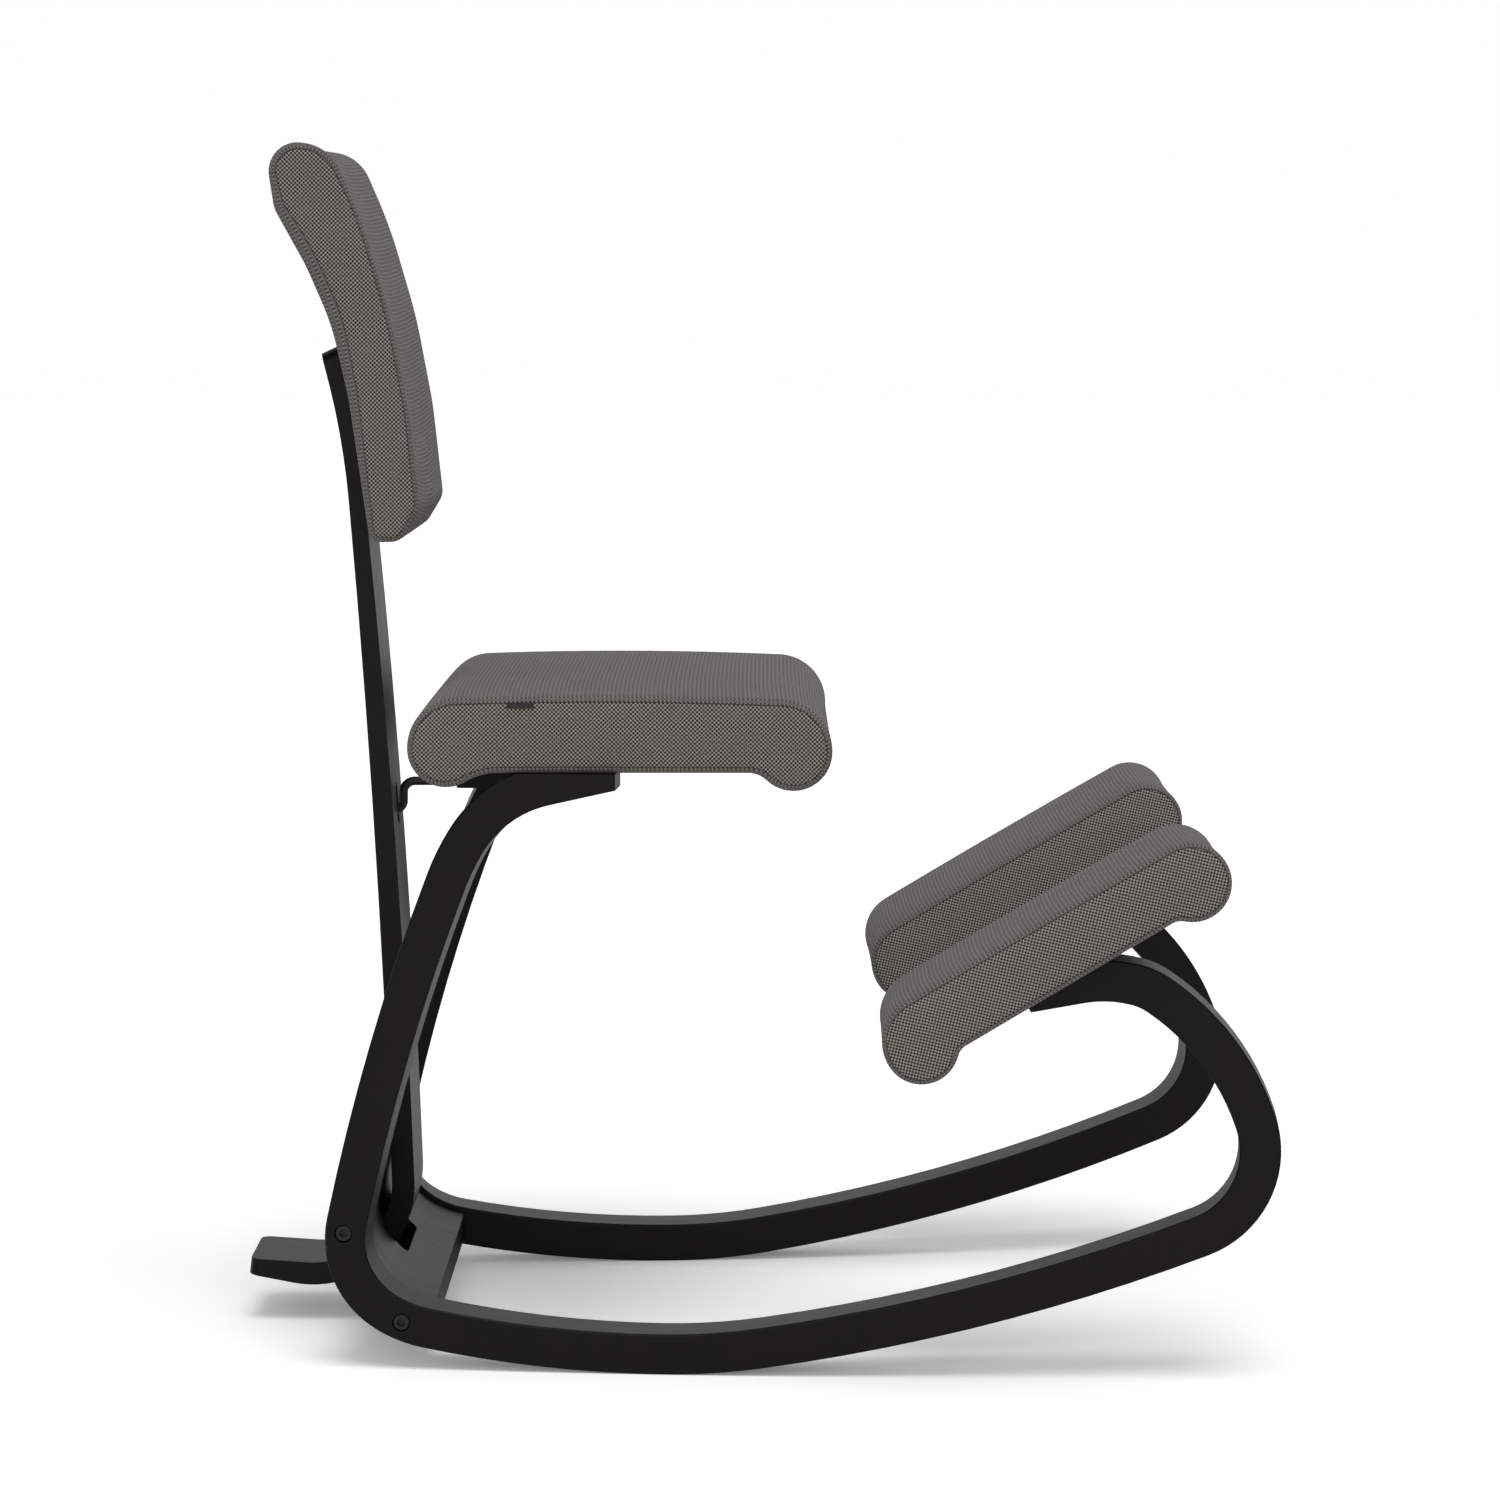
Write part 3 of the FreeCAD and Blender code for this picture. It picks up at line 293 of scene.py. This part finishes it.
def wrap_rows(half, edge, rim):
    """rows of the wrap from the middle to the seam: width, inset, and share of the crown"""
    rows = []
    for share in WRAP_SHARES:
        y = half * share
        if y < half - edge - WRAP_CLEAR:
            rows.append((y, 0.0, 1.0 - (y / half) ** 4))
    rows.append((half - edge - EDGE_LEAD, 0.0, EDGE_LIFT))
    for k in range(EDGE_STEPS):
        a = math.pi / 2 * k / EDGE_STEPS
        rows.append((half - edge + edge * math.sin(a), rim * (1 - math.cos(a)),
                     EDGE_LIFT * (1 - k / EDGE_STEPS)))
    # the seam lies on the side face, just in from the rounded edge
    rows.append((half + SEAM_LIP[0], rim * SEAM_LIP[1], 0.0))
    for flank in SEAM_FLANKS:
        rows.append((half - SEAM_DEPTH, rim + flank * SEAM_WIDTH, 0.0))
    return rows


def fill_side(bm, ring):
    """closes a side panel across its thickness"""
    edges = [bm.edges.get((v, ring[(k + 1) % len(ring)])) for k, v in enumerate(ring)]
    filled = bmesh.ops.triangle_fill(bm, use_beauty=True, use_dissolve=False, edges=edges)
    for f in filled["geom"]:
        if isinstance(f, bmesh.types.BMFace):
            f.smooth = True
            f.material_index = 1


def cushion(name, outline, place, half, crown, edge, rim_at, count):
    """sewn cushion: a wrap round the outline between two side panels, with seams sunk between them.
    outline(y, lift, draw) gives points in mm, half is half the width, crown the lift of the middle,
    edge the rounding beside the seam, and rim_at how far in from the outline the seam lies"""
    base_edge, _ = even_loop(outline(half, 0.0, 0.0), count)
    rim = rim_at(base_edge)[:, None]
    loops = []
    for y, inset, lift in wrap_rows(half, edge, rim):
        base, _ = even_loop(outline(y, crown * lift, CROWN_DRAW * lift), count)
        loops.append((y, offset_loop(base, inset)))
    bm = bmesh.new()
    uv = bm.loops.layers.uv.new("weave")
    seam_attr = bm.verts.layers.float.new("seam")
    _, total = even_loop(outline(0.0, 0.0, 0.0), count)
    along = [total * k / count for k in range(count + 1)]

    def add_ring(y, loop, sign, seam):
        ring = []
        for x, z in loop:
            v = bm.verts.new(place(x, y * sign, z))
            v[seam_attr] = seam
            ring.append(v)
        return ring

    last = len(loops) - 1
    order = [(-1, i) for i in range(last, 0, -1)] + [(1, i) for i in range(last + 1)]
    rings = [add_ring(*loops[i], sign, 1.0 if i >= last - 1 else 0.0) for sign, i in order]
    # distance along the surface across the width, for the weave
    across = [0.0]
    sampled = range(0, count, SAMPLE_EVERY)
    for ra, rb in zip(rings, rings[1:]):
        across.append(across[-1] + sum((ra[k].co - rb[k].co).length for k in sampled) / len(sampled))
    middle = across[len(across) // 2]
    for r, (ra, rb) in enumerate(zip(rings, rings[1:])):
        for k in range(count):
            k2 = (k + 1) % count
            f = bm.faces.new((ra[k], rb[k], rb[k2], ra[k2]))
            f.smooth = True
            f.material_index = 0
            for loop, (a, b) in zip(f.loops, ((k, r), (k, r + 1), (k + 1, r + 1), (k + 1, r))):
                loop[uv].uv = (along[a] * MM, across[b] - middle)
    # side panels: the outline drawn in step by step, then closed across its thickness
    for sign, prev in ((-1, rings[0]), (1, rings[-1])):
        for inset, swell in SIDE_ROWS:
            flat = offset_loop(base_edge, rim + SEAM_WIDTH + inset)
            cur = add_ring(half - SIDE_BASE + SIDE_DOME * swell, flat, sign, 0.0)
            for k in range(count):
                k2 = (k + 1) % count
                quad = (prev[k], cur[k], cur[k2], prev[k2])
                f = bm.faces.new(quad if sign > 0 else quad[::-1])
                f.smooth = True
                f.material_index = 1
            prev = cur
        fill_side(bm, prev)
    bmesh.ops.recalc_face_normals(bm, faces=bm.faces)
    # the side panels' weave lies as seen from the side
    for f in bm.faces:
        if f.material_index == 1:
            for loop in f.loops:
                x, z = place.back(loop.vert.co)
                loop[uv].uv = (x * MM, z * MM)
    mesh = bpy.data.meshes.new(name)
    bm.to_mesh(mesh)
    bm.free()
    mesh.validate()
    piece = bpy.data.objects.new(name, mesh)
    scene.collection.objects.link(piece)
    return piece


seat = cushion("seat_cushion", seat_line, Placer(), half=SEAT_HALF_WIDTH, crown=4.5, edge=5.0,
               rim_at=even_rim(4.0), count=420)
knee_r, knee_l = (cushion("knee_cushion_" + side, knee_line, KneePlacer(side), half=KNEE_HALF_WIDTH,
                          crown=4.0, edge=4.0, rim_at=even_rim(3.0), count=380)
                  for side in ("right", "left"))
back = cushion("backrest_cushion", back_line, Placer(), half=BACK_HALF_WIDTH, crown=1.2, edge=4.6,
               rim_at=back_rim, count=380)


def new_material(name):
    """empty node material with a Principled shader"""
    mat = bpy.data.materials.new(name)
    mat.use_nodes = True
    nt = mat.node_tree
    nt.nodes.clear()
    out = nt.nodes.new("ShaderNodeOutputMaterial")
    shader = nt.nodes.new("ShaderNodeBsdfPrincipled")
    nt.links.new(shader.outputs[0], out.inputs[0])
    return mat, nt, shader


def node(nt, kind, **values):
    """new node; in_Name sets the input of that name, in_3 the input of that number, the rest properties"""
    n = nt.nodes.new(kind)
    for k, v in values.items():
        if k.startswith("in_"):
            key = k[3:]
            n.inputs[int(key) if key.isdigit() else key.replace("_", " ")].default_value = v
        else:
            setattr(n, k, v)
    return n


def math_node(nt, op, a, b, clamp=False):
    """math on two sockets or numbers"""
    n = nt.nodes.new("ShaderNodeMath")
    n.operation = op
    n.use_clamp = clamp
    for i, v in enumerate((a, b)):
        if isinstance(v, (int, float)):
            n.inputs[i].default_value = v
        else:
            nt.links.new(v, n.inputs[i])
    return n.outputs[0]


def noise(nt, vector, **values):
    """noise texture at a vector socket"""
    n = node(nt, "ShaderNodeTexNoise", **values)
    nt.links.new(vector, n.inputs["Vector"])
    return n


def mix(nt, factor, a, b):
    """colour between a and b; a and b are colours or sockets"""
    n = node(nt, "ShaderNodeMix", data_type="RGBA")
    nt.links.new(factor, n.inputs[0])
    for i, v in ((6, a), (7, b)):
        if isinstance(v, tuple):
            n.inputs[i].default_value = v
        else:
            nt.links.new(v, n.inputs[i])
    return n.outputs[2]


def bump(nt, shader, height, strength, distance):
    n = node(nt, "ShaderNodeBump", in_Strength=strength, in_Distance=distance)
    nt.links.new(height, n.inputs["Height"])
    nt.links.new(n.outputs[0], shader.inputs["Normal"])


def weave_material(name, yarns, contrast, rib):
    """checked weave of light and dark yarn on the uv map "weave", with ribs across the width"""
    mat, nt, shader = new_material(name)
    light, dark = yarns
    uv = node(nt, "ShaderNodeUVMap", uv_map="weave").outputs[0]
    # threads wander a little
    wander = noise(nt, uv, in_Scale=60.0, in_Detail=2.0)
    centred = node(nt, "ShaderNodeVectorMath", operation="SUBTRACT", in_1=(0.5, 0.5, 0.5))
    nt.links.new(wander.outputs["Color"], centred.inputs[0])
    small = node(nt, "ShaderNodeVectorMath", operation="SCALE", in_Scale=WEAVE_WANDER)
    nt.links.new(centred.outputs[0], small.inputs[0])
    moved = node(nt, "ShaderNodeVectorMath", operation="ADD")
    nt.links.new(uv, moved.inputs[0])
    nt.links.new(small.outputs[0], moved.inputs[1])
    xyz = node(nt, "ShaderNodeSeparateXYZ")
    nt.links.new(moved.outputs[0], xyz.inputs[0])

    def wave(axis, repeats):
        return math_node(nt, "SINE", math_node(nt, "MULTIPLY", xyz.outputs[axis],
                                               2 * math.pi / WEAVE_PERIOD * repeats), 0.0)

    su = wave(0, 1)
    check = math_node(nt, "MULTIPLY", math_node(nt, "MULTIPLY", su, wave(1, 1)), contrast)
    ribs = math_node(nt, "ADD", math_node(nt, "MULTIPLY", su, rib), 0.5)
    check = math_node(nt, "ADD", check, ribs, clamp=True)
    # finer threads inside each check, for the bump
    fine = math_node(nt, "MULTIPLY", math_node(nt, "ADD", wave(0, 2), wave(1, 2)), 0.25)
    # uneven yarn and uneven cloth
    tone = check
    yarn = noise(nt, uv, in_Scale=700.0, in_Detail=3.0, in_Roughness=0.6)
    cloth = noise(nt, uv, in_Scale=18.0, in_Detail=3.0)
    for texture, share, clamp in ((yarn, YARN_UNEVEN, False), (cloth, CLOTH_UNEVEN, True)):
        change = math_node(nt, "MULTIPLY", math_node(nt, "SUBTRACT", texture.outputs[0], 0.5), share)
        tone = math_node(nt, "ADD", tone, change, clamp=clamp)
    colour = mix(nt, tone, (*dark, 1), (*light, 1))
    # the seam lies in shade, painted into the colour: its rows are mixed towards a dark colour
    seam = node(nt, "ShaderNodeAttribute", attribute_name="seam")
    colour = mix(nt, math_node(nt, "MULTIPLY", seam.outputs["Fac"], SEAM_SHADE), colour, SEAM_SHADE_COLOUR)
    nt.links.new(colour, shader.inputs["Base Color"])
    bump(nt, shader, math_node(nt, "ADD", math_node(nt, "MULTIPLY", check, 0.6), fine), WEAVE_BUMP, 0.0006)
    for key, value in (("Roughness", 0.95), ("Specular IOR Level", 0.15), ("Sheen Weight", 0.12),
                       ("Sheen Roughness", 0.5)):
        shader.inputs[key].default_value = value
    return mat


def wood_material(name, base, rough):
    """stained wood: grain that changes fast across the width and slowly along the strip"""
    mat, nt, shader = new_material(name)
    place = node(nt, "ShaderNodeTexCoord").outputs["Object"]
    stretched = []
    for scale in ((18.0, 900.0, 18.0), (6.0, 160.0, 6.0)):
        n = node(nt, "ShaderNodeVectorMath", operation="MULTIPLY", in_1=scale)
        nt.links.new(place, n.inputs[0])
        stretched.append(n.outputs[0])
    grain = noise(nt, stretched[0], in_Scale=1.0, in_Detail=5.0, in_Roughness=0.65)
    broad = noise(nt, stretched[1], in_Scale=1.0, in_Detail=3.0)
    g = math_node(nt, "ADD", math_node(nt, "MULTIPLY", grain.outputs[0], 0.7),
                  math_node(nt, "MULTIPLY", broad.outputs[0], 0.3))
    darker, lighter = ((*(c * k for c in base), 1) for k in (0.55, 1.5))
    nt.links.new(mix(nt, g, darker, lighter), shader.inputs["Base Color"])
    bump(nt, shader, g, 0.25, 0.0003)
    nt.links.new(math_node(nt, "ADD", math_node(nt, "MULTIPLY", g, 0.25), rough), shader.inputs["Roughness"])
    shader.inputs["Specular IOR Level"].default_value = 0.17
    return mat


def metal_material(name, base, rough, metallic):
    """metal or smooth cloth with a faint mottle"""
    mat, nt, shader = new_material(name)
    place = node(nt, "ShaderNodeTexCoord").outputs["Object"]
    mottle = noise(nt, place, in_Scale=400.0, in_Detail=3.0).outputs[0]
    darker, lighter = ((*(min(1, c * k) for c in base), 1) for k in (0.75, 1.25))
    nt.links.new(mix(nt, mottle, darker, lighter), shader.inputs["Base Color"])
    roughness = math_node(nt, "ADD", math_node(nt, "MULTIPLY", mottle, 0.15), rough)
    nt.links.new(roughness, shader.inputs["Roughness"])
    bump(nt, shader, mottle, 0.1, 0.0001)
    shader.inputs["Metallic"].default_value = metallic
    return mat


def paint(names, mat):
    """gives CAD nodes a material"""
    for n in names:
        mesh = nodes[n].data
        mesh.materials.clear()
        mesh.materials.append(mat)
        for p in mesh.polygons:
            p.material_index = 0


weave_side = weave_material("weave_side", SIDE_YARNS, contrast=1.3, rib=0.0)
# painted shade: the wrap gets a darker copy of the side panels' cloth, with its own ribs
weave_wrap_shaded = weave_material("weave_wrap_shaded", SHADED_WRAP_YARNS, contrast=0.42, rib=0.30)
wood = wood_material("dark_stained_wood", (0.0034, 0.0023, 0.0019), rough=0.30)
ply = wood_material("raw_plywood", (0.35, 0.25, 0.15), rough=0.55)
black_metal = metal_material("black_metal", (0.02, 0.02, 0.02), rough=0.35, metallic=0.6)
zinc = metal_material("zinc_steel", (0.55, 0.55, 0.54), rough=0.3, metallic=1.0)
tab_cloth = metal_material("tab_cloth", (0.02, 0.02, 0.02), rough=0.8, metallic=0.0)

paint(["runner_right", "runner_left", "cross_board", "backrest_stem", "hook_block"], wood)
paint(["seat_board", "knee_board_right", "knee_board_left", "backrest_board"], ply)
paint(["cross_board_bolts", "cross_board_nuts", "hook_rod"], black_metal)
paint(["seat_nuts", "seat_screws", "knee_nuts", "knee_screws", "hook_screws", "backrest_nuts",
       "backrest_screws"], zinc)
paint(["seam_tab"], tab_cloth)

for piece, body, gone in ((seat, "frame", ("seat_cover", "seat_foam")),
                          (knee_r, "frame", ("knee_cover_right", "knee_foam_right")),
                          (knee_l, "frame", ("knee_cover_left", "knee_foam_left")),
                          (back, "backrest", ("backrest_cover", "backrest_foam"))):
    piece.data.materials.append(weave_wrap_shaded)
    piece.data.materials.append(weave_side)
    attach(piece, body)
    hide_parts(*gone)


def make_floor():
    """white floor that keeps its shadows: the camera sees it lighter than it reflects light on"""
    mesh = bpy.data.meshes.new("floor")
    r = FLOOR_REACH
    mesh.from_pydata([(-r, -r, 0), (r, -r, 0), (r, r, 0), (-r, r, 0)], [], [(0, 1, 2, 3)])
    floor = bpy.data.objects.new("floor", mesh)
    scene.collection.objects.link(floor)
    mat = bpy.data.materials.new("floor")
    mat.use_nodes = True
    nt = mat.node_tree
    nt.nodes.clear()
    out = node(nt, "ShaderNodeOutputMaterial")
    diffuse = node(nt, "ShaderNodeBsdfDiffuse")
    glow = node(nt, "ShaderNodeEmission")
    seen = node(nt, "ShaderNodeLightPath").outputs["Is Camera Ray"]
    shade = math_node(nt, "ADD", math_node(nt, "MULTIPLY", seen, FLOOR_SEEN_GAIN), FLOOR_SHADE)
    nt.links.new(shade, diffuse.inputs[0])
    nt.links.new(math_node(nt, "MULTIPLY", seen, FLOOR_GLOW), glow.inputs["Strength"])
    both = node(nt, "ShaderNodeAddShader")
    nt.links.new(diffuse.outputs[0], both.inputs[0])
    nt.links.new(glow.outputs[0], both.inputs[1])
    nt.links.new(both.outputs[0], out.inputs[0])
    mesh.materials.append(mat)


def make_world():
    """white for the camera, even light for the rest, and darker on the camera's side in glossy faces"""
    world = bpy.data.worlds.new("studio")
    scene.world = world
    world.use_nodes = True
    nt = world.node_tree
    background = nt.nodes["Background"]
    background.inputs[0].default_value = (1, 1, 1, 1)
    ray = node(nt, "ShaderNodeLightPath").outputs
    xyz = node(nt, "ShaderNodeSeparateXYZ")
    nt.links.new(node(nt, "ShaderNodeTexCoord").outputs["Generated"], xyz.inputs[0])
    far_side = node(nt, "ShaderNodeMapRange", interpolation_type="SMOOTHSTEP",
                    in_From_Min=GLOSS_TURN[0], in_From_Max=GLOSS_TURN[1],
                    in_To_Min=GLOSS_NEAR, in_To_Max=GLOSS_FAR)
    nt.links.new(xyz.outputs[1], far_side.inputs["Value"])
    gloss = math_node(nt, "MULTIPLY", far_side.outputs[0], ray["Is Glossy Ray"])
    seen = math_node(nt, "MAXIMUM", ray["Is Camera Ray"], gloss)
    plain = math_node(nt, "MULTIPLY", math_node(nt, "SUBTRACT", 1.0, ray["Is Glossy Ray"]), DOME)
    nt.links.new(math_node(nt, "MAXIMUM", seen, plain), background.inputs[1])


def sun(name, direction, strength, angle):
    """sun shining along direction; angle in degrees sets how soft its shadows are"""
    light = bpy.data.lights.new(name, "SUN")
    light.energy = strength
    light.angle = math.radians(angle)
    lamp = bpy.data.objects.new(name, light)
    scene.collection.objects.link(lamp)
    lamp.rotation_euler = Vector(direction).to_track_quat("-Z", "Y").to_euler()


def make_camera():
    data = bpy.data.cameras.new("camera")
    camera = bpy.data.objects.new("camera", data)
    scene.collection.objects.link(camera)
    data.sensor_width = SENSOR_MM
    data.lens = LENS_PX / PICTURE_PX * SENSOR_MM
    data.clip_end = CAMERA_CLIP
    camera.location = CAMERA_AT
    camera.rotation_euler = (math.radians(90 - CAMERA_DOWN), 0, math.radians(CAMERA_TURN))
    scene.camera = camera


make_floor()
make_world()
sun("key", (-0.10, 0.35, -1.0), strength=1.35, angle=36)
sun("front", (0.05, 1.0, -0.35), strength=0.78, angle=40)
make_camera()
